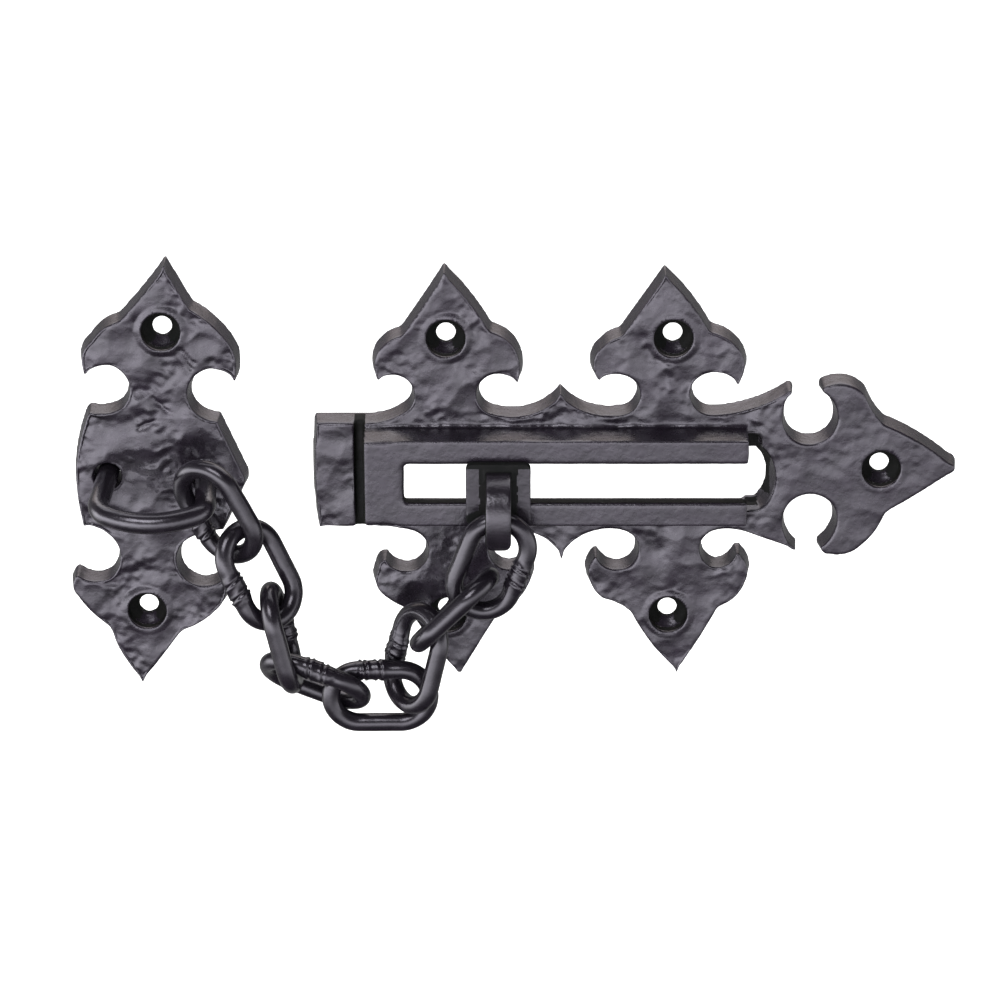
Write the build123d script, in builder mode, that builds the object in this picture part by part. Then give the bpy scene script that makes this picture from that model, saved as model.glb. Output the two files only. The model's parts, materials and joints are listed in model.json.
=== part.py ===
from build123d import *
import math
import os

os.makedirs("parts", exist_ok=True)

# Door chain guard, cast iron, screwed to a door and its frame. Millimetres.
# +X to the right, +Z up, the fronts face -Y. Both plates' flat backs lie on Y = 0, and the
# origin is on the slide plate's back, at the centre of the screw holes in its four fleurs.
# The chain hangs in a loop from the staple to the slider, which stands left of mid-channel.

# Castings
PLATE_T = 6.0  # thickness of both plates
DRAFT = 8.5  # draft of the channel's sides, degrees

# Countersunk screw holes, for a No. 8 wood screw
HOLE_D = 4.5
HEAD_D = 9.0
HEAD_STRAIGHT = 2.4  # depth of the straight part above the cone
CONE_ANGLE = 90.0
FLEUR_HOLES_X = 52.0  # between the holes of the slide plate's fleurs
FLEUR_HOLES_Z = 69.0
ARROW_HOLE = (74.7, 2.4)
KEEPER_HOLES = [(-91.0, 36.1), (-96.7, -33.6)]

# Channel along the slide plate: a raised box with a slot in its front, open at its right end
CHANNEL_Z = 1.7  # height of its centre line
CHANNEL_LEFT = -45.0
CHANNEL_RIGHT = 43.4
CHANNEL_TALL = 20.4  # across the front face
CHANNEL_FRONT = 13.4  # from the door to the front face
LIP_T = 3.7  # thickness of the two lips in front of the slider's head
SLOT_LEFT = -35.4
SLOT_TALL = 9.4
CAVITY_TALL = 17.0
CAVITY_PAST_SLOT = 2.0  # how much further left than the slot it goes
GROOVE_W = 2.2  # between the channel and the end band
GROOVE_DEEP = 1.6
ENTRY_RIGHT = 48.2  # far wall of the entry hole at the back, at mid height
ENTRY_BOW = 2.4  # how far that wall's ends come back
ENTRY_TOP = 5.9  # at the back
ENTRY_BOTTOM = -6.0
ENTRY_FLARE = 13.0  # its walls open towards the front, degrees
STEP_W = 2.8  # recess between the channel's end and the rest of the entry hole
STEP_FLOOR = 2.0  # from the door to its floor

# Staple on the keeper plate
STAPLE_D = 5.0
STAPLE_X = -93.3
STAPLE_Z = 1.6
STAPLE_DROOP = 11.5  # degrees below level
STAPLE_REACH = 27.1  # to the corner that its crown rounds off
STAPLE_SHOULDER = 20.6
STAPLE_ROOTS = 21.0  # between the two legs at the plate
STAPLE_WIDE = 25.2  # between the shoulders' corners
STAPLE_BEND = 6.0
STAPLE_CROWN = 17.0

# Slider
SLIDER_X = -14.0
FLANGE_W = 15.0
FLANGE_T = 2.2
FLANGE_GAP = 0.3  # between the lips and the flange
FLANGE_TOP = 7.6
FLANGE_BOTTOM = -7.5
FLANGE_CORNER = 1.5
NECK_W = 4.6
HEAD_W = 5.0
HEAD_T = 5.0
HEAD_TOP = 6.9  # it just passes the entry hole's front
HEAD_BOTTOM = -5.8
RUN_GAP = 0.35  # above and below the neck
STRAP_W = 6.0

# Chain: welded oval links
WIRE_D = 4.4
LINK_LONG = 27.5
LINK_WIDE = 18.0
WELD_D = 4.8
WELD_LONG = 5.0

LEFT_EDGE = (Align.MIN, Align.CENTER)  # a rectangle placed by the middle of its left edge


def draw(start, *runs):
    """A closed outline: a run of one point is a straight edge, and of two an arc through the first."""
    here = start
    for run in runs:
        if len(run) == 1:
            Line(here, run[0])
        else:
            ThreePointArc(here, run[0], run[1])
        here = run[-1]


def front_plane(out):
    """The plane that faces the room, a distance out from the door."""
    return Plane.XZ.offset(out)


# Slide plate ---------------------------------------------------------------------------------
with BuildPart() as slide_plate:
    # the outline, clockwise from the end band's top left corner
    with BuildSketch(Plane.XZ):
        with BuildLine():
            draw(
                (-56.6, 14.6),
                [(-43.5, 14.6)],
                # upper left fleur
                [(-38.6, 15.7), (-34.9, 18.1)],
                [(-34.2, 21.4), (-37.6, 24.6)],
                [(-39.8, 24.4), (-41.4, 23.4)],
                [(-42.4, 24.0)],
                [(-43.2, 28.6), (-40.8, 33.4)],
                [(-38.9, 34.9), (-36.4, 35.8)],
                [(-30.7, 44.4), (-26.4, 51.2)],
                [(-20.4, 44.4), (-15.5, 36.8)],
                [(-10.6, 33.9), (-8.3, 29.0)],
                [(-8.1, 26.0), (-9.2, 23.0)],
                [(-9.8, 22.9)],
                [(-11.8, 24.3), (-14.4, 24.9)],
                [(-18.2, 20.8), (-14.6, 16.6)],
                [(-6.4, 16.8), (0.3, 21.9)],
                # upper right fleur
                [(6.2, 17.4), (13.2, 16.4)],
                [(17.8, 20.6), (13.4, 24.8)],
                [(11.0, 24.5), (9.2, 23.4)],
                [(8.4, 23.8)],
                [(6.9, 28.6), (9.3, 33.0)],
                [(11.3, 34.7), (13.7, 35.6)],
                [(19.2, 43.9), (23.8, 50.8)],
                [(29.8, 44.3), (34.8, 36.7)],
                [(39.8, 34.4), (42.6, 30.8)],
                [(43.3, 26.6), (41.4, 22.5)],
                [(40.6, 22.4)],
                [(38.8, 24.4), (36.0, 25.2)],
                [(31.0, 20.8), (35.6, 16.5)],
                # upper horn, beside the arrow's round cut
                [(44.5, 18.2), (52.4, 22.3)],
                [(53.9, 22.0), (53.9, 20.4)],
                [(52.8, 18.6), (52.5, 16.2)],
                [(58.0, 9.3), (63.4, 15.4)],
                [(62.4, 18.3), (60.2, 20.6)],
                # arrow
                [(59.9, 22.6), (61.4, 23.6)],
                [(66.6, 24.0), (71.0, 20.9)],
                [(72.8, 17.3), (75.2, 14.2)],
                [(84.4, 9.4), (91.0, 4.4)],
                [(92.6, 2.2), (91.4, 0.6)],
                [(84.8, -4.0), (76.8, -9.2)],
                [(75.0, -13.3), (71.6, -17.4)],
                [(67.8, -19.8), (63.4, -20.0)],
                [(61.1, -18.9), (60.7, -16.9)],
                [(62.6, -14.9), (63.9, -12.0)],
                [(58.6, -4.9), (53.1, -9.8)],
                # lower horn
                [(53.5, -13.6), (55.6, -17.0)],
                [(56.1, -18.2), (55.0, -18.6)],
                [(44.0, -14.6)],
                [(40.2, -13.7), (36.6, -14.0)],
                # lower right fleur
                [(33.9, -17.9), (37.1, -21.9)],
                [(39.3, -21.1), (40.9, -19.0)],
                [(41.9, -18.2), (43.2, -18.9)],
                [(45.3, -22.8), (44.9, -26.5)],
                [(42.7, -30.5), (38.3, -33.4)],
                [(33.6, -42.4), (28.5, -50.6)],
                [(22.8, -44.4), (16.6, -34.6)],
                [(13.8, -32.7), (10.5, -31.4)],
                [(7.8, -28.8), (6.4, -25.3)],
                [(6.5, -22.0), (8.3, -19.3)],
                [(9.3, -19.2)],
                [(11.0, -21.4), (14.0, -22.4)],
                [(18.0, -18.0), (14.2, -13.8)],
                [(6.8, -14.8), (0.8, -21.2)],
                # lower left fleur
                [(-4.6, -15.4), (-11.6, -13.8)],
                [(-15.5, -18.0), (-11.4, -22.3)],
                [(-9.0, -21.4), (-7.5, -19.6)],
                [(-6.6, -19.8)],
                [(-5.3, -23.6), (-6.0, -27.2)],
                [(-8.6, -31.4), (-13.3, -34.8)],
                [(-17.4, -41.9), (-22.0, -50.0)],
                [(-23.2, -50.6), (-24.4, -50.0)],
                [(-30.0, -42.9), (-35.6, -34.1)],
                [(-39.2, -32.2), (-42.2, -29.7)],
                [(-43.7, -26.4), (-43.0, -22.9)],
                [(-41.8, -20.4), (-40.0, -19.8)],
                [(-38.4, -21.8), (-35.6, -22.8)],
                [(-31.1, -18.3), (-35.4, -13.8)],
                [(-39.4, -13.2), (-43.5, -13.0)],
                # end band
                [(-56.4, -13.0)],
                [(-57.3, 1.0), (-56.6, 14.6)],
            )
        make_face()
    extrude(amount=PLATE_T)
    # the channel's box, closed at its left end
    base_grow = 2 * CHANNEL_FRONT * math.tan(math.radians(DRAFT))
    with BuildSketch(Plane.XZ):
        with Locations(((CHANNEL_LEFT + CHANNEL_RIGHT) / 2, CHANNEL_Z)):
            Rectangle(CHANNEL_RIGHT - CHANNEL_LEFT + base_grow, CHANNEL_TALL + base_grow)
    extrude(amount=CHANNEL_FRONT, taper=DRAFT)
    # the box ends square at the entry hole, and the plate's own thickness goes on past it
    with BuildSketch(front_plane(PLATE_T)):
        with Locations((CHANNEL_RIGHT, CHANNEL_Z)):
            Rectangle(2 * base_grow, 2 * CHANNEL_TALL, align=LEFT_EDGE)
    extrude(amount=CHANNEL_FRONT, mode=Mode.SUBTRACT)
    # the cavity that the slider's head runs in, open at the back and into the entry hole
    with BuildSketch(Plane.XZ):
        with Locations((SLOT_LEFT - CAVITY_PAST_SLOT, CHANNEL_Z)):
            Rectangle(CHANNEL_RIGHT - SLOT_LEFT + CAVITY_PAST_SLOT, CAVITY_TALL, align=LEFT_EDGE)
    extrude(amount=CHANNEL_FRONT - LIP_T, mode=Mode.SUBTRACT)
    # the slot between the lips, open at its right end
    with BuildSketch(Plane.XZ):
        with Locations((SLOT_LEFT, CHANNEL_Z)):
            Rectangle(CHANNEL_RIGHT - SLOT_LEFT, SLOT_TALL, align=LEFT_EDGE)
    extrude(amount=2 * CHANNEL_FRONT, mode=Mode.SUBTRACT)
    # the entry hole, with a bowed far wall
    with BuildSketch(Plane.XZ):
        with BuildLine():
            middle = (ENTRY_TOP + ENTRY_BOTTOM) / 2
            draw(
                (CHANNEL_RIGHT, ENTRY_TOP),
                [(ENTRY_RIGHT - ENTRY_BOW, ENTRY_TOP)],
                [(ENTRY_RIGHT, middle), (ENTRY_RIGHT - ENTRY_BOW, ENTRY_BOTTOM)],
                [(CHANNEL_RIGHT, ENTRY_BOTTOM)],
                [(CHANNEL_RIGHT, ENTRY_TOP)],
            )
        make_face()
    extrude(amount=PLATE_T, taper=-ENTRY_FLARE, mode=Mode.SUBTRACT)
    # the recess at the channel's end, as tall as the cavity
    with BuildSketch(front_plane(STEP_FLOOR)):
        with Locations((CHANNEL_RIGHT, CHANNEL_Z)):
            Rectangle(STEP_W, CAVITY_TALL, align=LEFT_EDGE)
    extrude(amount=PLATE_T, mode=Mode.SUBTRACT)
    # the groove beside the end band
    with BuildSketch(front_plane(PLATE_T - GROOVE_DEEP)):
        with Locations((CHANNEL_LEFT - GROOVE_W, CHANNEL_Z)):
            Rectangle(GROOVE_W, 2 * CHANNEL_TALL, align=LEFT_EDGE)
    extrude(amount=CHANNEL_FRONT, mode=Mode.SUBTRACT)
    # screw holes: a straight part for the head, then a cone
    with Locations(front_plane(PLATE_T - HEAD_STRAIGHT)):
        with GridLocations(FLEUR_HOLES_X, FLEUR_HOLES_Z, 2, 2):
            CounterSinkHole(HOLE_D / 2, HEAD_D / 2, counter_sink_angle=CONE_ANGLE)
        with Locations(ARROW_HOLE):
            CounterSinkHole(HOLE_D / 2, HEAD_D / 2, counter_sink_angle=CONE_ANGLE)

# Staple --------------------------------------------------------------------------------------
# A round bar bent to a flat bow, drooping; its two tails go through the keeper plate to its back.
droop = math.radians(STAPLE_DROOP)
staple_plane = Plane(
    origin=(STAPLE_X, 0, STAPLE_Z),
    x_dir=(1, 0, 0),
    z_dir=(0, math.sin(droop), -math.cos(droop)),
)
with BuildPart() as keeper_staple:
    with BuildLine(staple_plane) as bow:
        root = STAPLE_ROOTS / 2
        side = STAPLE_WIDE / 2
        FilletPolyline(
            (-root, -STAPLE_D),
            (-side, STAPLE_SHOULDER),
            (0, STAPLE_REACH),
            (side, STAPLE_SHOULDER),
            (root, -STAPLE_D),
            radius=[STAPLE_BEND, STAPLE_CROWN, STAPLE_BEND],
        )
    with BuildSketch(Plane(origin=bow.line @ 0, z_dir=bow.line % 0)):
        Circle(STAPLE_D / 2)
    sweep()
    split(bisect_by=Plane.XZ, keep=Keep.TOP)

# Keeper plate --------------------------------------------------------------------------------
with BuildPart() as keeper_plate:
    # the outline, clockwise from the top tip
    with BuildSketch(Plane.XZ):
        with BuildLine():
            draw(
                (-89.7, 53.0),
                # upper fleur
                [(-86.9, 47.9), (-83.8, 42.1)],
                [(-77.6, 37.2), (-73.8, 31.6)],
                [(-73.1, 27.6), (-73.9, 23.6)],
                [(-74.7, 23.3)],
                [(-77.2, 25.5), (-80.3, 26.1)],
                [(-84.6, 21.2), (-82.4, 16.3)],
                [(-80.4, 15.2), (-78.2, 14.8)],
                # right side
                [(-72.2, 0.8)],
                [(-72.0, -1.2), (-72.8, -3.0)],
                [(-77.6, -13.6)],
                # lower fleur
                [(-81.4, -14.3), (-84.8, -15.4)],
                [(-88.5, -20.8), (-83.5, -26.6)],
                [(-80.2, -25.8), (-78.2, -24.0)],
                [(-77.4, -24.2)],
                [(-76.9, -28.3), (-79.0, -33.4)],
                [(-83.4, -37.2), (-88.2, -39.6)],
                [(-93.5, -46.7), (-98.5, -53.2)],
                [(-101.9, -48.8), (-106.3, -38.6)],
                [(-110.9, -34.2), (-113.6, -30.4)],
                [(-114.8, -27.4), (-114.0, -25.0)],
                [(-113.2, -24.0), (-111.8, -24.3)],
                [(-108.4, -25.4), (-105.4, -24.5)],
                [(-103.3, -19.6), (-105.4, -15.0)],
                [(-107.6, -13.5), (-111.4, -12.8)],
                # left side
                [(-112.7, 1.5), (-109.2, 16.2)],
                [(-108.2, 17.1)],
                # upper fleur's left half
                [(-104.0, 16.9), (-101.0, 18.2)],
                [(-99.5, 22.6), (-103.0, 27.0)],
                [(-106.0, 26.6), (-108.3, 25.0)],
                [(-109.2, 24.9)],
                [(-110.3, 28.6), (-107.4, 34.4)],
                [(-104.6, 37.5), (-100.9, 39.2)],
                [(-95.6, 45.2), (-89.7, 53.0)],
            )
        make_face()
    extrude(amount=PLATE_T)
    with Locations(front_plane(PLATE_T - HEAD_STRAIGHT)):
        with Locations(*KEEPER_HOLES):
            CounterSinkHole(HOLE_D / 2, HEAD_D / 2, counter_sink_angle=CONE_ANGLE)
    # the holes that the staple's tails fill
    add(keeper_staple.part, mode=Mode.SUBTRACT)

# Slider --------------------------------------------------------------------------------------
lip_face = front_plane(CHANNEL_FRONT + FLANGE_GAP)
# the plane that cuts the slider in half, with x out from the door and y up
eye_plane = Plane(origin=(SLIDER_X, 0, 0), x_dir=(0, -1, 0), z_dir=(-1, 0, 0))
with BuildPart() as slider:
    # flange in front of the lips
    with BuildSketch(lip_face):
        with Locations((SLIDER_X, (FLANGE_TOP + FLANGE_BOTTOM) / 2)):
            RectangleRounded(FLANGE_W, FLANGE_TOP - FLANGE_BOTTOM, FLANGE_CORNER)
    extrude(amount=FLANGE_T)
    # neck through the slot
    with BuildSketch(lip_face):
        with Locations((SLIDER_X, CHANNEL_Z)):
            Rectangle(NECK_W, SLOT_TALL - 2 * RUN_GAP)
    extrude(amount=-(LIP_T + 2 * FLANGE_GAP))
    # head behind the lips
    with BuildSketch(front_plane(CHANNEL_FRONT - LIP_T - FLANGE_GAP)):
        with Locations((SLIDER_X, (HEAD_TOP + HEAD_BOTTOM) / 2)):
            SlotOverall(HEAD_TOP - HEAD_BOTTOM, HEAD_W, rotation=90)
    extrude(amount=-HEAD_T)
    # eye: a bent strap, closed, that the last link hangs in
    with BuildSketch(eye_plane):
        with BuildLine():
            draw(
                (14.6, 5.7),
                [(16.9, 5.8)],
                [(21.5, 4.5), (24.7, 0.9)],
                [(25.6, -4.2), (24.4, -8.9)],
                [(21.2, -11.5), (17.4, -10.7)],
                [(15.6, -9.2), (14.9, -6.8)],
                [(14.6, 5.7)],
            )
        make_face()
        with BuildLine():
            draw(
                (15.6, 3.4),
                [(16.6, 3.4)],
                [(20.2, 2.4), (22.5, -0.2)],
                [(23.2, -4.2), (22.2, -7.8)],
                [(20.6, -9.1), (18.4, -8.5)],
                [(17.6, -7.4), (17.4, -6.0)],
                [(16.8, -4.9), (15.6, -4.6)],
                [(15.6, 3.4)],
            )
        make_face(mode=Mode.SUBTRACT)
    extrude(amount=STRAP_W / 2, both=True)

# Chain ---------------------------------------------------------------------------------------
# Each link from the staple to the slider: the centre, then three turns in degrees. Heading is the
# way it points across the door, from +X towards +Z; roll brings its left bar off the door; tip
# brings its far end off the door. The last value is the side that its weld is on.
LINKS = [
    ((-78.4, -14.9, -4.5), -62, 28, 3, -1),
    ((-69.3, -16.4, -19.6), -65, -39, 5, -1),
    ((-64.3, -18.4, -34.7), -77, -89, 1, 1),
    ((-56.9, -16.1, -46.8), -21, 47, 3, 1),
    ((-41.7, -16.4, -50.7), 0, 0, -1, 1),
    ((-33.3, -16.8, -40.7), 77, -49, -1, 1),
    ((-24.1, -18.7, -27.5), 45, 75, 0, -1),
    ((-15.7, -20.2, -15.8), 69, 0, 0, -1),
]


def link_plane(centre, heading, roll, tip):
    """A link's own plane: x along the link, y towards its left bar."""
    along = Vector(1, 0, 0).rotate(Axis((0, 0, 0), (0, -1, 0)), heading)
    across = Vector(0, -1, 0).cross(along)
    along = along.rotate(Axis((0, 0, 0), across), -tip)
    left = across.rotate(Axis((0, 0, 0), along), roll)
    return Plane(origin=centre, x_dir=along, z_dir=along.cross(left))


half_bar = (LINK_LONG - LINK_WIDE) / 2
bend = (LINK_WIDE - WIRE_D) / 2
for number, (centre, heading, roll, tip, weld_side) in enumerate(LINKS, start=1):
    plane = link_plane(centre, heading, roll, tip)
    weld_at = plane.from_local_coords((0, weld_side * bend, 0))
    with BuildPart() as link:
        with BuildLine(plane) as loop:
            draw(
                (0, bend),
                [(half_bar, bend)],
                [(half_bar + bend, 0), (half_bar, -bend)],
                [(-half_bar, -bend)],
                [(-half_bar - bend, 0), (-half_bar, bend)],
                [(0, bend)],
            )
        with BuildSketch(Plane(origin=loop.line @ 0, z_dir=plane.x_dir)):
            Circle(WIRE_D / 2)
        sweep()
        with BuildSketch(Plane(origin=weld_at, z_dir=plane.x_dir)):
            Circle(WELD_D / 2)
        extrude(amount=WELD_LONG / 2, both=True)
    link.part.label = f"chain_link_{number}"
    export_step(link.part, f"parts/{link.part.label}.step")

slide_plate.part.label = "slide_plate"
keeper_plate.part.label = "keeper_plate"
keeper_staple.part.label = "keeper_staple"
slider.part.label = "slider"
for piece in (slide_plate, keeper_plate, keeper_staple, slider):
    export_step(piece.part, f"parts/{piece.part.label}.step")
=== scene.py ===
import json
import math

import bpy
import bmesh
import numpy as np
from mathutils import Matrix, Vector, kdtree, noise


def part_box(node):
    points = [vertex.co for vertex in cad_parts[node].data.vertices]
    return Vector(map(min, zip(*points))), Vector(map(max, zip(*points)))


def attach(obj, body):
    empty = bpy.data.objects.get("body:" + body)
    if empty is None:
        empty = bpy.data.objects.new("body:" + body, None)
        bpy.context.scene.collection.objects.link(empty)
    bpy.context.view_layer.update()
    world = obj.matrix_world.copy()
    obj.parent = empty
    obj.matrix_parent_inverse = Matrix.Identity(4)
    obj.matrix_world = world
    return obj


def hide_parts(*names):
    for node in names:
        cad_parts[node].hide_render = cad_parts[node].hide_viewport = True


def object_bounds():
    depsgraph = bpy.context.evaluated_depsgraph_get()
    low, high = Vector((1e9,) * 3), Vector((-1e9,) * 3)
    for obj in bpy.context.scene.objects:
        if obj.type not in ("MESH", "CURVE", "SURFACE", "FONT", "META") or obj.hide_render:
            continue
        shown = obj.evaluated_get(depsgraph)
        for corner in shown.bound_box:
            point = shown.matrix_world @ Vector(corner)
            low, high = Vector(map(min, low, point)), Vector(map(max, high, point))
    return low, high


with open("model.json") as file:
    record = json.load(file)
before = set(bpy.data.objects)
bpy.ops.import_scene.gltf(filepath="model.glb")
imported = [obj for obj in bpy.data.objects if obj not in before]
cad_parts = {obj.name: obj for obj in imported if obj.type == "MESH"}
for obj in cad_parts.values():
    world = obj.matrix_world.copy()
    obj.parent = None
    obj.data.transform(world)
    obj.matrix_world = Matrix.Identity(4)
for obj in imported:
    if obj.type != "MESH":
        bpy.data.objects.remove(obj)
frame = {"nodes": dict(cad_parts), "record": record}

MM = 0.001
UM = 0.000001
cad_box = [list(corner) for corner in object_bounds()]
low, high = Vector(cad_box[0]), Vector(cad_box[1])

# The castings, in metres, as in the CAD model
PLATE_FRONT = 6.0 * MM  # both plates' faces stand this far out from the door
DRAFT = 0.9 * MM  # how far their sides lean in, from back to front
VOXEL = 0.42 * MM
HEAD_R = 4.5 * MM  # counterbore of every screw hole
GROOVE_LEFT, GROOVE_RIGHT = -47.2 * MM, -45.0 * MM  # the groove between end band and channel
CHANNEL_RIGHT = 43.4 * MM
CHANNEL_Z = 1.7 * MM
RECESS_TALL, RECESS_WIDE = 18.4 * MM, 3.0 * MM  # at the channel's right end, with its edges
FLANGE_FRONT = 15.9 * MM  # the slider's flange
STRAP_ROUNDS_AT, STRAP_ROUND = -8.6 * MM, 3.0 * MM  # where the strap's end starts to narrow

# The chain
WIRE_R = 2.2 * MM


# Materials -----------------------------------------------------------------------------------
MOTTLE, GLOSS_PATCHES = 160.0, 420.0  # cells per metre
COAT_ROUGHNESS = 0.22
PURPLE_SHEEN = (0.90, 0.86, 1.0)


def new_material(name):
    material = bpy.data.materials.new(name)
    material.use_nodes = True
    nodes = material.node_tree.nodes
    nodes.clear()
    output = nodes.new("ShaderNodeOutputMaterial")
    shader = nodes.new("ShaderNodeBsdfPrincipled")
    material.node_tree.links.new(shader.outputs["BSDF"], output.inputs["Surface"])
    return material, nodes, material.node_tree.links, shader


def noise_node(nodes, links, coords, scale, detail=4.0, roughness=0.55):
    """A noise texture in object coordinates; scale is cells per metre."""
    texture = nodes.new("ShaderNodeTexNoise")
    texture.inputs["Scale"].default_value = scale
    texture.inputs["Detail"].default_value = detail
    texture.inputs["Roughness"].default_value = roughness
    links.new(coords.outputs["Object"], texture.inputs["Vector"])
    return texture


def ramp_node(nodes, links, value, stops):
    """A colour ramp through (position, colour) stops."""
    ramp = nodes.new("ShaderNodeValToRGB")
    while len(ramp.color_ramp.elements) < len(stops):
        ramp.color_ramp.elements.new(0.5)
    for element, (position, colour) in zip(ramp.color_ramp.elements, stops):
        element.position = position
        element.color = (*colour, 1.0)
    links.new(value, ramp.inputs["Fac"])
    return ramp


def black_paint(name, dark, light, rough_low, rough_high, grain, grain_depth, coat, gloss):
    """Black paint over iron, mottled, with a fine orange-peel grain of cells per metre."""
    material, nodes, links, shader = new_material(name)
    coords = nodes.new("ShaderNodeTexCoord")
    mottle = noise_node(nodes, links, coords, MOTTLE, 6.0, 0.65)
    colour = ramp_node(nodes, links, mottle.outputs["Fac"], [(0.3, dark), (0.72, light)])
    links.new(colour.outputs["Color"], shader.inputs["Base Color"])
    patches = noise_node(nodes, links, coords, GLOSS_PATCHES, 3.0)
    roughness = nodes.new("ShaderNodeMapRange")
    roughness.inputs["To Min"].default_value = rough_low
    roughness.inputs["To Max"].default_value = rough_high
    links.new(patches.outputs["Fac"], roughness.inputs["Value"])
    links.new(roughness.outputs["Result"], shader.inputs["Roughness"])
    peel = noise_node(nodes, links, coords, grain, 5.0, 0.6)
    bump = nodes.new("ShaderNodeBump")
    bump.inputs["Strength"].default_value = 1.0
    bump.inputs["Distance"].default_value = grain_depth
    links.new(peel.outputs["Fac"], bump.inputs["Height"])
    links.new(bump.outputs["Normal"], shader.inputs["Normal"])
    shader.inputs["Specular IOR Level"].default_value = gloss
    shader.inputs["Specular Tint"].default_value = (*PURPLE_SHEEN, 1.0)
    shader.inputs["Coat Weight"].default_value = coat
    shader.inputs["Coat Roughness"].default_value = COAT_ROUGHNESS
    return material


PURPLE_BLACK = (0.006, 0.005, 0.007)
cast_paint = black_paint(
    "cast_paint", dark=PURPLE_BLACK, light=(0.016, 0.012, 0.019),
    rough_low=0.20, rough_high=0.34, grain=650.0, grain_depth=120 * UM, coat=0.15, gloss=0.55,
)
slider_paint = black_paint(
    "slider_paint", dark=PURPLE_BLACK, light=(0.014, 0.011, 0.016),
    rough_low=0.18, rough_high=0.30, grain=900.0, grain_depth=100 * UM, coat=0.2, gloss=0.44,
)
staple_paint = black_paint(
    "staple_paint", dark=PURPLE_BLACK, light=(0.013, 0.010, 0.015),
    rough_low=0.16, rough_high=0.28, grain=1000.0, grain_depth=50 * UM, coat=0.2, gloss=0.55,
)
chain_paint = black_paint(
    "chain_paint", dark=(0.005, 0.004, 0.006), light=(0.011, 0.009, 0.013),
    rough_low=0.16, rough_high=0.28, grain=900.0, grain_depth=40 * UM, coat=0.2, gloss=0.42,
)
# painted shade: a dull, rough black that stands in for the dark deep in recesses and shaded places
recess_shade_paint = black_paint(
    "recess_shade_paint", dark=(0.002, 0.003, 0.002), light=(0.005, 0.005, 0.004),
    rough_low=0.55, rough_high=0.75, grain=1200.0, grain_depth=100 * UM, coat=0.0, gloss=0.15,
)


# Castings ------------------------------------------------------------------------------------
def copy_of(node, name):
    """The CAD node's mesh as a new object with its seams closed."""
    source = frame["nodes"][node]
    mesh = source.data.copy()
    piece = bpy.data.objects.new(name, mesh)
    bpy.context.scene.collection.objects.link(piece)
    shell = bmesh.new()
    shell.from_mesh(mesh)
    bmesh.ops.remove_doubles(shell, verts=shell.verts, dist=1e-6)
    shell.to_mesh(mesh)
    shell.free()
    mesh.materials.clear()
    return piece


def apply_modifiers(piece):
    depsgraph = bpy.context.evaluated_depsgraph_get()
    mesh = bpy.data.meshes.new_from_object(piece.evaluated_get(depsgraph))
    old = piece.data
    piece.modifiers.clear()
    piece.data = mesh
    bpy.data.meshes.remove(old)


def remesh(piece, voxel, rounds):
    """An even mesh of small faces, with edges softened by a few rounds of smoothing."""
    grid = piece.modifiers.new("grid", "REMESH")
    grid.mode = "VOXEL"
    grid.voxel_size = voxel
    soften = piece.modifiers.new("soften", "SMOOTH")
    soften.factor = 0.5
    soften.iterations = rounds
    apply_modifiers(piece)


def smooth_step(low_value, high_value, value):
    t = min(1.0, max(0.0, (value - low_value) / (high_value - low_value)))
    return t * t * (3.0 - 2.0 * t)


def screw_holes():
    """Centres of the screw holes in the plates' plane, from the record's mounts."""
    places = []
    for mount in frame["record"]["mounts"]:
        x, _, z = mount["pos_m"]
        if mount["kind"] == "bore":
            places.append((x, z))
        if mount["kind"] == "bolt_pattern":
            half_x = mount["dims"]["spacing_x_mm"] / 2 * MM
            half_z = mount["dims"]["spacing_y_mm"] / 2 * MM
            for side_x in (-1, 1):
                for side_z in (-1, 1):
                    places.append((x + side_x * half_x, z + side_z * half_z))
    return places


HOLES = screw_holes()


def from_holes(point):
    """Distance from the nearest screw hole's axis."""
    return min(math.hypot(point.x - x, point.z - z) for x, z in HOLES)


DENT_OFFSET = Vector((7.3, 3.1, 5.7))  # for each step of the seed, in cells


def dents(point, cell, seed):
    """Overlapping shallow dents: 0 at a dent's middle, 1 on the ridges between dents."""
    offset = seed * DENT_OFFSET
    distances = noise.voronoi(point / cell + offset)[0]
    return min(1.0, distances[0] * distances[0] * 1.6)


def scratch(point, grooves):
    """Depth of the narrow creases at a point, 0 to 1."""
    deepest = 0.0
    for x0, z0, x1, z1, width in grooves:
        along_x, along_z = x1 - x0, z1 - z0
        length = along_x * along_x + along_z * along_z
        t = ((point.x / MM - x0) * along_x + (point.z / MM - z0) * along_z) / length
        t = min(1.0, max(0.0, t))
        wobble = 0.25 * noise.noise(Vector((t * 7.0, x0, z0)))
        gap_x = point.x / MM - x0 - t * along_x + wobble
        gap_z = point.z / MM - z0 - t * along_z
        deepest = max(deepest, 1.0 - smooth_step(0.0, width, math.hypot(gap_x, gap_z)))
    return deepest


def soften_where(piece, rounds, weight_at):
    """Evens the surface out, as much as weight_at(point) says, 0 to 1."""
    group = piece.vertex_groups.new(name="softened")
    for vertex in piece.data.vertices:
        weight = weight_at(vertex.co)
        if weight > 0.0:
            group.add([vertex.index], weight, "REPLACE")
    soften = piece.modifiers.new("soften", "SMOOTH")
    soften.factor = 0.5
    soften.iterations = rounds
    soften.vertex_group = "softened"
    apply_modifiers(piece)


def off_the_holes(point):
    """0 at the screw holes, which stay round, and 1 on the rest of a plate."""
    return smooth_step(HEAD_R + 0.5 * MM, HEAD_R + 1.5 * MM, from_holes(point))


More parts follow.
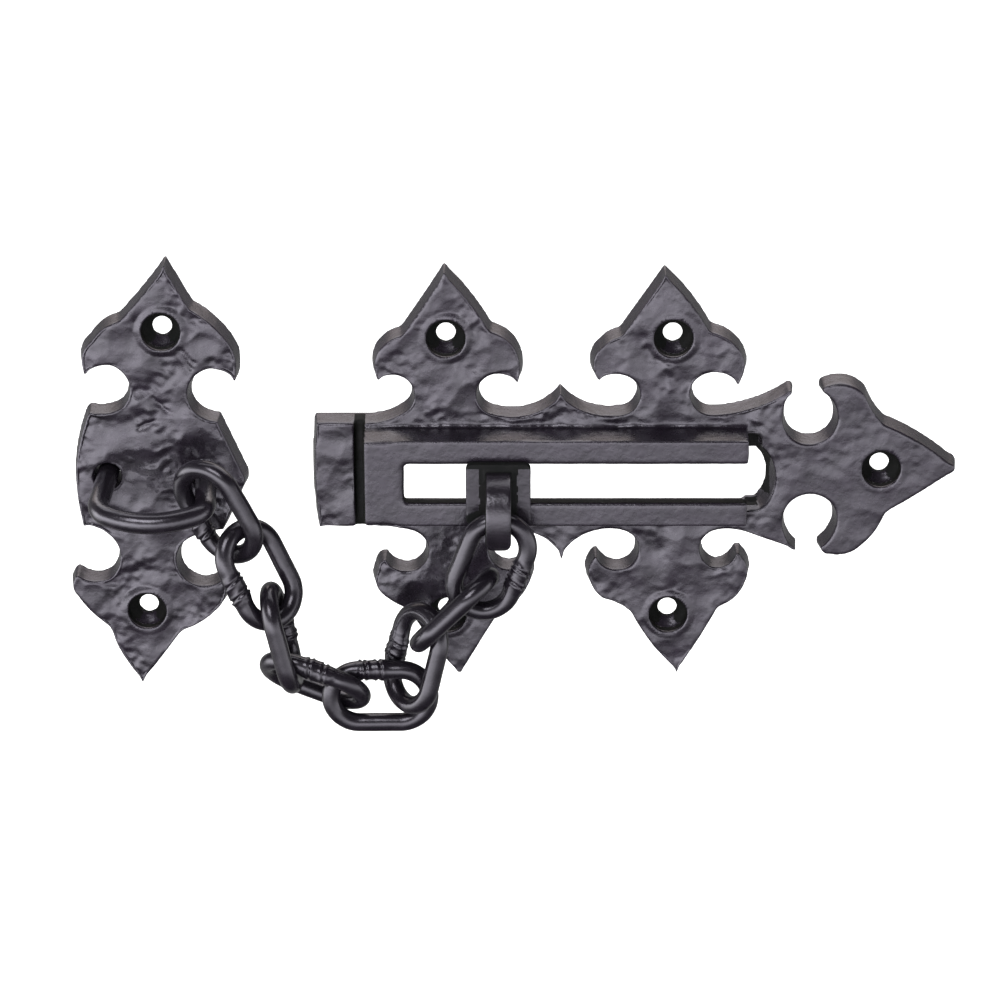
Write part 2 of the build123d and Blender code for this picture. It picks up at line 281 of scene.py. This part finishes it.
# The hammered skin: the size of each kind of mark, and its share of the whole depth
WARP, WARP_CELL = 1.8 * MM, 5.0 * MM  # how far the dents' outlines wander
BROAD_DENT, BROAD_SHARE = 6.0 * MM, 0.32
SMALL_DENT, SMALL_SHARE = 3.1 * MM, 0.28
SWELL, SWELL_SHARE = 7.0 * MM, 0.36
RIPPLE, RIPPLE_LEAST, RIPPLE_MORE = 1.5 * MM, 0.04, 0.18
PATCH = 9.0 * MM  # of rougher and smoother skin
CREASE_SHARE = 0.45
FLATTEN = 0.35  # marks are drawn out across the plate's thickness


def sunk_at(point, seed, grooves):
    """How deep the skin lies at a point, as a share of the depth of hammering there."""
    flat = Vector((point.x, point.y * FLATTEN, point.z))
    warp = noise.noise_vector(flat / WARP_CELL) * WARP
    broad = dents(flat + warp, BROAD_DENT, seed)
    small = dents(flat + warp * 0.7, SMALL_DENT, seed + 1)
    swell = 0.5 + noise.noise(flat / SWELL + Vector((seed, 0, 0)))
    ripple = 0.5 + noise.noise(flat / RIPPLE + Vector((0, seed, 0)))
    patchy = smooth_step(-0.25, 0.35, noise.noise(flat / PATCH + Vector((0, 0, seed))))
    sunk = BROAD_SHARE * (1.0 - broad) + SMALL_SHARE * patchy * (1.0 - small)
    sunk += SWELL_SHARE * max(0.0, swell) + (RIPPLE_LEAST + RIPPLE_MORE * patchy) * ripple
    if grooves:
        sunk += CREASE_SHARE * scratch(point, grooves)
    return max(0.0, sunk)


def hammer(piece, strength, seed, grooves=()):
    """Moves the surface inwards in dents and lumps; strength gives the depth at a point."""
    mesh = piece.data
    normals = [vertex.normal.copy() for vertex in mesh.vertices]
    for vertex, normal in zip(mesh.vertices, normals):
        depth = strength(vertex.co, normal)
        if depth > 0.0:
            vertex.co = vertex.co - normal * depth * sunk_at(vertex.co, seed, grooves)
    mesh.update()


LEAN_REACH = 3.0 * MM  # how far in from the outline the draft is felt
LEAN_SPREAD = 1.5 * MM  # how far along the outline its direction is averaged


def lean_sides(piece):
    """Gives the plate's sides their draft: the outline shrinks from the back to the front."""
    mesh = piece.data
    rim = []
    for vertex in mesh.vertices:
        side = math.hypot(vertex.normal.x, vertex.normal.z)
        if side > 0.8 and -PLATE_FRONT * 0.7 < vertex.co.y < -PLATE_FRONT * 0.3:
            rim.append(vertex)
    tree = kdtree.KDTree(len(rim))
    for index, vertex in enumerate(rim):
        tree.insert((vertex.co.x, 0.0, vertex.co.z), index)
    tree.balance()
    inward = []
    for vertex in rim:
        direction = Vector((-vertex.normal.x, 0.0, -vertex.normal.z))
        inward.append(direction.normalized())
    for vertex in mesh.vertices:
        depth = min(1.0, -vertex.co.y / PLATE_FRONT)
        if depth <= 0.02 or from_holes(vertex.co) < HEAD_R + 0.6 * MM:
            continue
        place = (vertex.co.x, 0.0, vertex.co.z)
        nearest = tree.find(place)[2]
        if nearest > LEAN_REACH:
            continue
        pull, total = Vector((0.0, 0.0, 0.0)), 0.0
        for _, index, distance in tree.find_range(place, nearest + 2.2 * MM):
            weight = math.exp(-((distance - nearest) / LEAN_SPREAD) ** 2)
            pull += inward[index] * weight
            total += weight
        share = 1.0 - smooth_step(0.0, LEAN_REACH, nearest)
        vertex.co += pull / total * DRAFT * depth * share
    mesh.update()


def finish_piece(piece, body, node, material):
    piece.data.materials.clear()
    piece.data.materials.append(material)
    for polygon in piece.data.polygons:
        polygon.use_smooth = True
    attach(piece, body)
    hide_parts(node)


def facing_room(normal):
    return smooth_step(0.2, 0.8, -normal.y)


def plain_round_holes(point):
    """0 in and just round the screw holes, so that they stay round, and 1 elsewhere."""
    return smooth_step(HEAD_R + 0.3 * MM, HEAD_R + 1.8 * MM, from_holes(point))


def paint_shade(piece, in_shade):
    """Gives the faces where the given mask of (centre, normal) is true a dull black: painted shade for
    recesses and other shaded places.
    """
    piece.data.materials.append(recess_shade_paint)
    for polygon in piece.data.polygons:
        if in_shade(polygon.center, polygon.normal):
            polygon.material_index = 1


def cast_plate(node, seed, strength, grooves, in_shade):
    """One of the two plates, hammered as strength says, with painted shade (dull black) in its
    recesses.
    """
    piece = copy_of(node, node + "_casting")
    remesh(piece, VOXEL, 2)
    lean_sides(piece)
    soften_where(piece, 4, off_the_holes)
    hammer(piece, strength, seed, grooves)
    soften_where(piece, 1, off_the_holes)
    finish_piece(piece, "root", node, cast_paint)
    paint_shade(piece, in_shade)


# Depth of the hammering
SIDE_DEPTH = 0.25 * MM
KEEPER_DEPTH = 1.08 * MM  # more than that, on the face
SLIDE_DEPTH = 0.80 * MM
CHANNEL_DEPTH = 0.12 * MM
BACK_MARGIN = 1.2 * MM  # it fades out this near to the flat back
ARROW_FROM, ARROW_TO = 46.0 * MM, 60.0 * MM  # it fades along the plate to the arrow's face,
ARROW_SMOOTHER = 0.55  # which has this much less


def off_the_back(point):
    return smooth_step(0.0, BACK_MARGIN, -point.y) * plain_round_holes(point)


def keeper_depth(point, normal):
    """Hammered all over its face, and more lightly on its sides."""
    return off_the_back(point) * (SIDE_DEPTH + KEEPER_DEPTH * facing_room(normal))


def slide_depth(point, normal):
    """Fleurs and end band hammered, the arrow less, and the channel nearly smooth."""
    if -point.y > PLATE_FRONT + 1.0 * MM:
        return off_the_back(point) * CHANNEL_DEPTH
    smoother = ARROW_SMOOTHER * smooth_step(ARROW_FROM, ARROW_TO, point.x)
    return off_the_back(point) * (SIDE_DEPTH + SLIDE_DEPTH * facing_room(normal)) * (1.0 - smoother)


# Which faces get painted shade: dull black in the recesses
MOUTH = 0.7 * MM  # painted shade in recesses begins this far below the plate's face
WALL = 1.5 * MM  # walls lie within this of the record's openings
OFF_BACK = 1.0 * MM  # keeps the painted shade off the plate's back


def in_hole(centre, normal):
    """Inside a counterbore, below its mouth, except the cone's lowest part: where shade is painted."""
    if normal.z > 0.6 and normal.y < -0.4:
        return False
    inside = -PLATE_FRONT + MOUTH < centre.y < -0.05 * MM
    return inside and from_holes(centre) < HEAD_R + 0.25 * MM


def slot_walls():
    """The box round the slot and entry hole, with their walls, from the record's openings."""
    boxes = [
        opening["box_m"] for opening in frame["record"]["physics"]["openings"]
        if opening["name"] in ("slot_left", "slot_right", "entry_hole")
    ]
    left = min(box[0][0] for box in boxes) - WALL
    right = max(box[1][0] for box in boxes) + WALL
    bottom = min(box[0][2] for box in boxes) - WALL
    top = max(box[1][2] for box in boxes) + WALL
    return left, right, bottom, top


slide_low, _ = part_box("slide_plate")
SLOT_LEFT, SLOT_RIGHT, SLOT_BOTTOM, SLOT_TOP = slot_walls()
SLOT_MOUTH = slide_low.y + 0.8 * MM


def in_slot(centre, normal):
    """On the walls of the slot and the entry hole, below their mouths, where shade is painted."""
    beside = SLOT_LEFT < centre.x < SLOT_RIGHT and SLOT_BOTTOM < centre.z < SLOT_TOP
    return beside and centre.y > SLOT_MOUTH and abs(normal.y) < 0.7


def beside_entry(centre, normal):
    """On the channel's square end, and in the recess next to it by the entry hole, where shade is
    painted.
    """
    if abs(centre.z - CHANNEL_Z) > RECESS_TALL / 2:
        return False
    end = abs(centre.x - CHANNEL_RIGHT) < 0.5 * MM and normal.x > 0.5
    recess = CHANNEL_RIGHT < centre.x < CHANNEL_RIGHT + RECESS_WIDE
    sunk = -PLATE_FRONT + MOUTH < centre.y < -OFF_BACK
    return centre.y > SLOT_MOUTH and (end or recess and sunk)


def in_groove(centre, normal):
    """In the groove beside the end band, up the channel's end, where shade is painted."""
    beside = GROOVE_LEFT - 0.2 * MM < centre.x < GROOVE_RIGHT + 0.35 * MM
    if not beside or centre.y > -OFF_BACK:
        return False
    return centre.y > -PLATE_FRONT + 0.5 * MM or normal.x < -0.35


KEEPER_CREASES = [  # from x, z to x, z, and half the width, mm
    (-88.2, 33.0, -84.3, 27.0, 0.55),
    (-86.9, 32.2, -83.6, 28.4, 0.45),
    (-93.5, 20.0, -90.5, 16.5, 0.45),
    (-97.0, 12.5, -93.6, 13.9, 0.5),
]
SLIDE_RECESSES = (in_hole, in_slot, in_groove, beside_entry)


def in_slide_recess(centre, normal):
    return any(inside(centre, normal) for inside in SLIDE_RECESSES)


cast_plate("keeper_plate", 3, keeper_depth, KEEPER_CREASES, in_hole)
cast_plate("slide_plate", 8, slide_depth, (), in_slide_recess)


# Slider and staple ---------------------------------------------------------------------------
WEAR_DEPTH = 0.10 * MM
SLIDER_VOXEL, STAPLE_VOXEL = 0.3 * MM, 0.4 * MM
STRAP_SIDE = 4.4 * MM  # painted shade: the flange is dull black this far each side of the strap's middle
FLANGE_SHADE_TOP, FLANGE_SHADE_LOW = 6.5 * MM, -1.4 * MM  # above the one, and lower left of the other


def light_wear(point, normal):
    return WEAR_DEPTH


def on_the_strap(point):
    """0 on the slider's flange and 1 on the strap, which stands out in front of it."""
    return smooth_step(FLANGE_FRONT + 0.3 * MM, FLANGE_FRONT + 1.5 * MM, -point.y)


def round_end(piece, middle):
    """Rounds the strap's lower end off, as seen from the front."""
    for vertex in piece.data.vertices:
        below = (STRAP_ROUNDS_AT - vertex.co.z) / STRAP_ROUND
        if below > 0.0 and -vertex.co.y > FLANGE_FRONT + 0.2 * MM:
            narrow = math.sqrt(max(0.1, 1.0 - 0.85 * below * below))
            vertex.co.x = middle + (vertex.co.x - middle) * narrow


slider_low, slider_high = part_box("slider")
SLIDER_X = (slider_low.x + slider_high.x) / 2
slider = copy_of("slider", "slider_casting")
remesh(slider, SLIDER_VOXEL, 3)
soften_where(slider, 12, on_the_strap)
round_end(slider, SLIDER_X)
hammer(slider, light_wear, 5)
finish_piece(slider, "slider", "slider", slider_paint)


def beside_strap(centre, normal):
    """Painted shade: the strap's sides, and the flange close beside it, along its top and at its lower
    left.
    """
    aside = centre.x - SLIDER_X
    if -centre.y > FLANGE_FRONT + 0.4 * MM:
        return abs(normal.x) > 0.6
    ragged = 0.3 * MM * noise.noise(centre / (1.2 * MM))
    if abs(aside) < STRAP_SIDE + ragged:
        return True
    lower_left = aside < 0.0 and centre.z < FLANGE_SHADE_LOW + 0.5 * aside
    return lower_left or centre.z > FLANGE_SHADE_TOP


# painted shade on the strap's sides and on the flange round it
paint_shade(slider, beside_strap)

staple = copy_of("keeper_staple", "staple_bar")
remesh(staple, STAPLE_VOXEL, 3)
hammer(staple, light_wear, 6)
finish_piece(staple, "root", "keeper_staple", staple_paint)


# Chain links ---------------------------------------------------------------------------------
PAST_BARS = 5.0 * MM  # from a link's middle, clear of its weld
NEAR_WELD = 4.0 * MM


class LinkFrame:
    """A link's own axes, found from its CAD mesh: along it, across its two bars, and through it."""

    def __init__(self, mesh):
        points = np.array([vertex.co[:] for vertex in mesh.vertices])
        areas = np.array([polygon.area for polygon in mesh.polygons])
        middles = np.array([polygon.center[:] for polygon in mesh.polygons])
        centre = (middles * areas[:, None]).sum(0) / areas.sum()
        offsets = middles - centre
        spread = np.einsum("i,ij,ik->jk", areas, offsets, offsets)
        axes = np.linalg.eigh(spread)[1].T
        along = axes[2] if axes[2][0] > 0 else -axes[2]
        across = axes[1]
        through = np.cross(along, across)
        local = (points - centre) @ np.array([along, across, through]).T
        crowns = local[np.abs(local[:, 0]) > PAST_BARS]
        shift = (crowns.max(0) + crowns.min(0)) / 2
        local -= shift
        self.half_long = float(local[:, 0].max())
        self.half_wide = float(np.abs(crowns[:, 1] - shift[1]).max())
        self.centre = Vector(centre + shift @ np.array([along, across, through]))
        self.along, self.across, self.through = Vector(along), Vector(across), Vector(through)
        self.weld_side = self.side_of_weld(local)

    def side_of_weld(self, local):
        """1 or -1: the bar whose surface stands out further from its centre line."""
        bar = self.half_wide - WIRE_R
        widest = {}
        for side in (-1, 1):
            near = local[(np.abs(local[:, 0]) < NEAR_WELD) & (local[:, 1] * side > 0)]
            widest[side] = np.hypot(near[:, 1] - side * bar, near[:, 2]).max(initial=0.0)
        return 1 if widest[1] > widest[-1] else -1


def link_path(half_bar, bend, steps):
    """Points and tangents round a link's centre line, each with its bar: 1, -1, or 0 in a bend."""
    length = 4 * half_bar + 2 * math.pi * bend
    path = []
    for step in range(steps):
        run = length * step / steps
        if run < 2 * half_bar:
            path.append((run - half_bar, bend, 1.0, 0.0, 1))
            continue
        run -= 2 * half_bar
        if run < math.pi * bend:
            turn = run / bend
            path.append((
                half_bar + bend * math.sin(turn), bend * math.cos(turn),
                math.cos(turn), -math.sin(turn), 0,
            ))
            continue
        run -= math.pi * bend
        if run < 2 * half_bar:
            path.append((half_bar - run, -bend, -1.0, 0.0, -1))
            continue
        turn = (run - 2 * half_bar) / bend
        path.append((
            -half_bar - bend * math.sin(turn), -bend * math.cos(turn),
            -math.cos(turn), math.sin(turn), 0,
        ))
    return path


WELD_CORE, WELD_ENDS = 2.6 * MM, 4.4 * MM  # from its middle to where it fades, and to its ends
WELD_HEIGHT, WELD_WAVE = 0.22 * MM, 0.12 * MM
WAVE_LENGTH = 1.9 * MM
SEAMS = (-1.9 * MM, 1.6 * MM)
SEAM_SLANT = 0.8 * MM
SEAM_DEPTH, SEAM_WIDTH = 0.42 * MM, 0.28 * MM
BURR_HEIGHT, BURR_WIDTH, BURR_AT = 0.22 * MM, 0.3 * MM, 0.55 * MM  # beside each seam


def weld_swell(distance, angle, phase):
    """How the wire's surface stands out near its weld: a lumpy joint with two slanting seams."""
    body = 1.0 - smooth_step(WELD_CORE, WELD_ENDS, abs(distance))
    if body <= 0.0:
        return 0.0
    slant = SEAM_SLANT * math.sin(angle + phase)
    height = WELD_HEIGHT + WELD_WAVE * math.sin(distance / WAVE_LENGTH + 2.0 * angle + phase)
    for seam in SEAMS:
        gap = abs(distance - seam - slant)
        height += BURR_HEIGHT * math.exp(-((gap - BURR_AT) / BURR_WIDTH) ** 2)
        height -= SEAM_DEPTH * math.exp(-(gap / SEAM_WIDTH) ** 2)
    return body * height


STEPS, SIDES = 180, 26  # faces along a link's wire and round it
WIRE_SHRINK = 0.03 * MM  # leaves room for the dents inside the CAD wire
WIRE_DENT, WIRE_DENT_DEPTH = 2.6 * MM, 0.035 * MM
WELD_LUMP = 1.3 * MM


def build_link(number, weld_shift):
    """One link's wire, swept round the CAD link's own axes."""
    node = f"chain_link_{number}"
    axes = LinkFrame(frame["nodes"][node].data)
    bend = axes.half_wide - WIRE_R
    half_bar = axes.half_long - axes.half_wide
    phase = 1.3 * number
    mesh = bpy.data.meshes.new(node + "_wire")
    verts, faces = [], []
    for x, y, tangent_x, tangent_y, bar in link_path(half_bar, bend, STEPS):
        outward = axes.along * -tangent_y + axes.across * tangent_x
        middle = axes.centre + axes.along * x + axes.across * y
        for side in range(SIDES):
            angle = 2 * math.pi * side / SIDES
            ray = outward * math.cos(angle) + axes.through * math.sin(angle)
            swell = weld_swell(x - weld_shift, angle, phase) if bar == axes.weld_side else 0.0
            skin = middle + ray * WIRE_R
            dent = noise.noise(skin / WIRE_DENT) * WIRE_DENT_DEPTH
            lump = noise.noise(skin / WELD_LUMP) * 0.6 * max(0.0, swell)
            verts.append(middle + ray * (WIRE_R - WIRE_SHRINK + dent + swell + lump))
    for step in range(STEPS):
        for side in range(SIDES):
            after, beside = (step + 1) % STEPS, (side + 1) % SIDES
            faces.append((
                step * SIDES + side, step * SIDES + beside,
                after * SIDES + beside, after * SIDES + side,
            ))
    mesh.from_pydata(verts, [], faces)
    mesh.update()
    shell = bmesh.new()
    shell.from_mesh(mesh)
    bmesh.ops.recalc_face_normals(shell, faces=shell.faces)
    shell.to_mesh(mesh)
    shell.free()
    piece = bpy.data.objects.new(node + "_wire", mesh)
    bpy.context.scene.collection.objects.link(piece)
    finish_piece(piece, node, node, chain_paint)


WELD_SHIFTS = [2.5, 0.0, 0.0, -0.5, -2.0, 0.0, 0.0, 0.0]  # along each link's bar, mm
for link_number, shift in enumerate(WELD_SHIFTS, start=1):
    build_link(link_number, shift * MM)


# Floor, light and camera ---------------------------------------------------------------------
FLOOR_REACH = 3.0
FLOOR_GAP = 0.05  # below the object
FLOOR_GLOW = 0.85


def build_floor():
    """A white floor that the paint doesn't mirror."""
    mesh = bpy.data.meshes.new("floor")
    ground = low.z - FLOOR_GAP
    signs = [(-1, -1), (1, -1), (1, 1), (-1, 1)]
    corners = [(x * FLOOR_REACH, y * FLOOR_REACH, ground) for x, y in signs]
    mesh.from_pydata(corners, [], [(0, 1, 2, 3)])
    material, _, _, shader = new_material("floor_white")
    shader.inputs["Base Color"].default_value = (0.9, 0.9, 0.9, 1.0)
    shader.inputs["Roughness"].default_value = 0.8
    shader.inputs["Emission Color"].default_value = (1.0, 1.0, 1.0, 1.0)
    shader.inputs["Emission Strength"].default_value = FLOOR_GLOW
    mesh.materials.append(material)
    floor = bpy.data.objects.new("floor", mesh)
    bpy.context.scene.collection.objects.link(floor)
    floor.visible_glossy = False


build_floor()

FRONT_ROOM = [  # sine of the elevation, and the brightness there, as a share of the brightest
    (-0.85, 0.0), (-0.62, 0.05), (-0.38, 0.44), (-0.18, 0.88), (0.06, 1.0), (0.30, 0.08), (0.70, 0.01),
]
FRONT_PEAK = 5.3
FRONT_LEFT, FRONT_RIGHT = 1.25, 0.55  # shares of that peak
BACK_LIGHT = 0.30


def map_range(nodes, links, value, from_range, to_range=(0.0, 1.0), interpolation="SMOOTHSTEP"):
    node = nodes.new("ShaderNodeMapRange")
    node.interpolation_type = interpolation
    node.inputs["From Min"].default_value, node.inputs["From Max"].default_value = from_range
    node.inputs["To Min"].default_value, node.inputs["To Max"].default_value = to_range
    links.new(value, node.inputs["Value"])
    return node.outputs["Result"]


def build_world():
    """A soft bright band in front, dark above and below, dim behind, and white to the camera."""
    world = bpy.data.worlds.new("studio")
    bpy.context.scene.world = world
    world.use_nodes = True
    nodes, links = world.node_tree.nodes, world.node_tree.links
    coords = nodes.new("ShaderNodeTexCoord")
    split = nodes.new("ShaderNodeSeparateXYZ")
    links.new(coords.outputs["Generated"], split.inputs["Vector"])
    height = map_range(nodes, links, split.outputs["Z"], (-1.0, 1.0), interpolation="LINEAR")
    stops = [((sine + 1.0) / 2.0, (share, share, share)) for sine, share in FRONT_ROOM]
    band = ramp_node(nodes, links, height, stops)
    peaks = (FRONT_PEAK * FRONT_LEFT, FRONT_PEAK * FRONT_RIGHT)
    side = map_range(nodes, links, split.outputs["X"], (-0.5, 0.5), peaks)
    front = nodes.new("ShaderNodeMath")
    front.operation = "MULTIPLY"
    links.new(band.outputs["Color"], front.inputs[0])
    links.new(side, front.inputs[1])
    behind = map_range(nodes, links, split.outputs["Y"], (0.0, 0.5))
    room = nodes.new("ShaderNodeMix")
    links.new(behind, room.inputs["Factor"])
    links.new(front.outputs["Value"], room.inputs["A"])
    room.inputs["B"].default_value = BACK_LIGHT
    path = nodes.new("ShaderNodeLightPath")
    seen = nodes.new("ShaderNodeMix")
    links.new(path.outputs["Is Camera Ray"], seen.inputs["Factor"])
    links.new(room.outputs["Result"], seen.inputs["A"])
    seen.inputs["B"].default_value = 1.0
    background = nodes["Background"]
    background.inputs["Color"].default_value = (1.0, 1.0, 1.0, 1.0)
    links.new(seen.outputs["Result"], background.inputs["Strength"])


build_world()


def area_light(name, place, target, width, height, power, colour=(1.0, 1.0, 1.0)):
    data = bpy.data.lights.new(name, "AREA")
    data.shape = "RECTANGLE"
    data.size = width
    data.size_y = height
    data.energy = power
    data.color = colour
    light = bpy.data.objects.new(name, data)
    light.location = place
    light.visible_camera = False
    light.rotation_euler = (Vector(target) - Vector(place)).to_track_quat("-Z", "Y").to_euler()
    bpy.context.scene.collection.objects.link(light)


centre = (low + high) / 2
area_light("key", centre + Vector((-0.22, -0.45, 0.50)), centre, width=0.40, height=0.28, power=3.0)
area_light("top", centre + Vector((0.0, 0.28, 0.55)), centre, width=0.9, height=0.5, power=3.0)
# a warm card behind, so high that only the upper walls of the outline mirror it
card = Vector((0.0, 0.30, 0.315))
card_aim = card - Vector((0.0, 1.0, 0.0))
area_light("card", card, card_aim, width=0.9, height=0.30, power=0.85, colour=(1.0, 0.86, 0.78))

ELEVATION = math.radians(22.5)
DISTANCE = 0.807
AIM = Vector((-0.0136, 0.0, -0.0077))
LENS, SENSOR = 124.0, 36.0  # mm
camera_data = bpy.data.cameras.new("camera")
camera_data.lens = LENS
camera_data.sensor_width = SENSOR
camera = bpy.data.objects.new("camera", camera_data)
camera.location = AIM + Vector((0.0, -math.cos(ELEVATION), math.sin(ELEVATION))) * DISTANCE
camera.rotation_euler = (math.pi / 2 - ELEVATION, 0.0, 0.0)
bpy.context.scene.collection.objects.link(camera)
bpy.context.scene.camera = camera
bpy.context.scene.view_settings.view_transform = "Standard"
